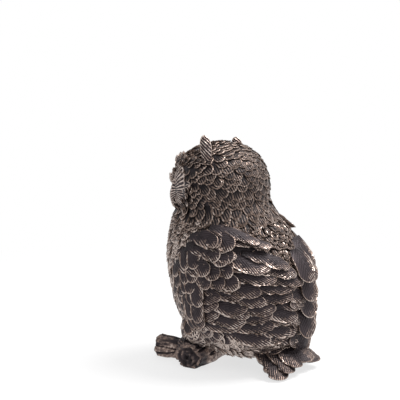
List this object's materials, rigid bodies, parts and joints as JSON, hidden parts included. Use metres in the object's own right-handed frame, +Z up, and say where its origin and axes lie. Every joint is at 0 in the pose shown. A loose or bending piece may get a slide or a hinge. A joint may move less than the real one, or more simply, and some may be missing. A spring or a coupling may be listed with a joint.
{
  "type": "owl figurine",
  "caption": "Small standing owl statuette with ear tufts, folded wings and a fanned tail, perched on a short log with a side branch.",
  "frame": {"origin": "bottom centre of the whole figurine, in the plane that the log's sanded underside and the tail rest on", "axes": "+Z up, -Y the way the owl's body faces, +X its left side; the log lies along X"},
  "size_m": [0.0594, 0.067, 0.0963],
  "materials": {
    "feather_bronze": "filled resin with an antique bronze finish: near-black patina in the hollows, worn copper tone on the raised edges",
    "bark_bronze": "filled resin with a darker antique bronze finish on carved bark",
    "claw_bronze": "filled resin with an antique bronze finish, smoother and a little more worn",
    "eye_bronze": "smooth dark bronze tone, slightly polished"
  },
  "bodies": {
    "root": {"log_perch": "bark_bronze", "side_branch": "bark_bronze", "log_knots": "bark_bronze", "body_casting": "feather_bronze", "head_casting": "feather_bronze", "left_wing": "feather_bronze", "right_wing": "feather_bronze", "tail_fan": "feather_bronze", "left_ear_tuft": "feather_bronze", "right_ear_tuft": "feather_bronze", "beak": "claw_bronze", "left_foot": "claw_bronze", "right_foot": "claw_bronze", "left_eye": "eye_bronze", "right_eye": "eye_bronze"}
  },
  "joints": []
}
